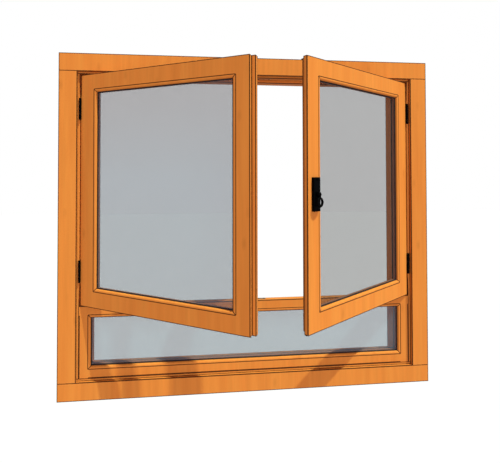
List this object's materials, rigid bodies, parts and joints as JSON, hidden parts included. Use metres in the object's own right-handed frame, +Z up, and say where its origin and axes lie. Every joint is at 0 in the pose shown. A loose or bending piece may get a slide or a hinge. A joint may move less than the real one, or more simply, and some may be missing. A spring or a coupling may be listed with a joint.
{
  "type": "casement window",
  "caption": "Timber casement window: a pair of inward-opening glazed sashes over a fixed light, in a cased frame, with butt hinges and a ring handle that drives lock rods.",
  "frame": {"origin": "centre of the bottom casing's wall face, on the wall plane at mid-width, 16.5 mm above the casing's lower edge", "axes": "+X to the right seen from the room, +Y from the room into the wall, +Z up"},
  "size_m": [1.5, 0.4304, 1.33],
  "materials": {
    "casing_wood": "satin",
    "frame_wood": "satin",
    "sash_wood": "satin",
    "bead_wood": "satin",
    "glass": "clear, faint grey-blue tint",
    "seal_rubber": "matte",
    "packer_plastic": "matte",
    "spacer_plastic": "matte brown",
    "black_hardware": "satin black powder coat",
    "lock_steel": "yellow zinc plated"
  },
  "bodies": {
    "frame": {"bottom_casing": "casing_wood", "head_casing": "casing_wood", "left_casing": "casing_wood", "right_casing": "casing_wood", "frame_head": "frame_wood", "frame_sill": "frame_wood", "left_jamb": "frame_wood", "right_jamb": "frame_wood", "transom": "frame_wood", "fixed_left_stile": "frame_wood", "fixed_right_stile": "frame_wood", "fixed_bottom_rail": "frame_wood", "fixed_glazing_beads": "bead_wood", "fixed_gaskets": "seal_rubber", "fixed_panes": "glass", "fixed_spacer": "spacer_plastic", "fixed_setting_blocks": "packer_plastic", "upper_keep": "lock_steel", "lower_keep": "lock_steel", "left_upper_frame_leaf": "black_hardware", "left_lower_frame_leaf": "black_hardware", "right_upper_frame_leaf": "black_hardware", "right_lower_frame_leaf": "black_hardware", "hinge_pins": "black_hardware", "frame_screws": "black_hardware"},
    "left_sash": {"left_hinge_stile": "sash_wood", "left_meeting_stile": "sash_wood", "left_top_rail": "sash_wood", "left_bottom_rail": "sash_wood", "left_weather_seals": "seal_rubber", "left_glazing_beads": "bead_wood", "left_gaskets": "seal_rubber", "left_panes": "glass", "left_spacer": "spacer_plastic", "left_setting_blocks": "packer_plastic", "left_upper_sash_leaf": "black_hardware", "left_lower_sash_leaf": "black_hardware", "left_hinge_screws": "black_hardware"},
    "right_sash": {"right_hinge_stile": "sash_wood", "right_meeting_stile": "sash_wood", "right_top_rail": "sash_wood", "right_bottom_rail": "sash_wood", "right_weather_seals": "seal_rubber", "right_glazing_beads": "bead_wood", "right_gaskets": "seal_rubber", "right_panes": "glass", "right_spacer": "spacer_plastic", "right_setting_blocks": "packer_plastic", "right_upper_sash_leaf": "black_hardware", "right_lower_sash_leaf": "black_hardware", "right_hinge_screws": "black_hardware", "handle_plate": "black_hardware", "handle_plate_screws": "black_hardware", "gearbox_case": "lock_steel", "gearbox_cover": "lock_steel"},
    "handle": {"ring_handle": "black_hardware", "handle_spindle": "lock_steel", "drive_pinion": "lock_steel"},
    "upper_rod": {"upper_rod": "lock_steel"},
    "lower_rod": {"lower_rod": "lock_steel"}
  },
  "joints": [
    {"name": "left_sash_hinge", "type": "hinge", "parent": "frame", "child": "left_sash", "pos_m": [-0.671, -0.0065, 0.785], "axis": [0, 0, -1], "range_deg": [-29.6, 120.4]},
    {"name": "right_sash_hinge", "type": "hinge", "parent": "frame", "child": "right_sash", "pos_m": [0.671, -0.0065, 0.785], "axis": [0, 0, 1], "range_deg": [-31.3, 118.7]},
    {"name": "handle_turn", "type": "hinge", "parent": "right_sash", "child": "handle", "pos_m": [0.13693, -0.32537, 0.785], "axis": [0.5195, -0.8545, 0], "range_deg": [0, 90]},
    {"name": "upper_rod_slide", "type": "slide", "parent": "right_sash", "child": "upper_rod", "axis": [0, 0, 1], "range_m": [0, 0.01258]},
    {"name": "lower_rod_slide", "type": "slide", "parent": "right_sash", "child": "lower_rod", "axis": [0, 0, -1], "range_m": [0, 0.01258]}
  ],
  "couplings": [
    {"joint": "upper_rod_slide", "follows": "handle_turn", "m_per_rad": 0.008},
    {"joint": "lower_rod_slide", "follows": "handle_turn", "m_per_rad": 0.008}
  ]
}
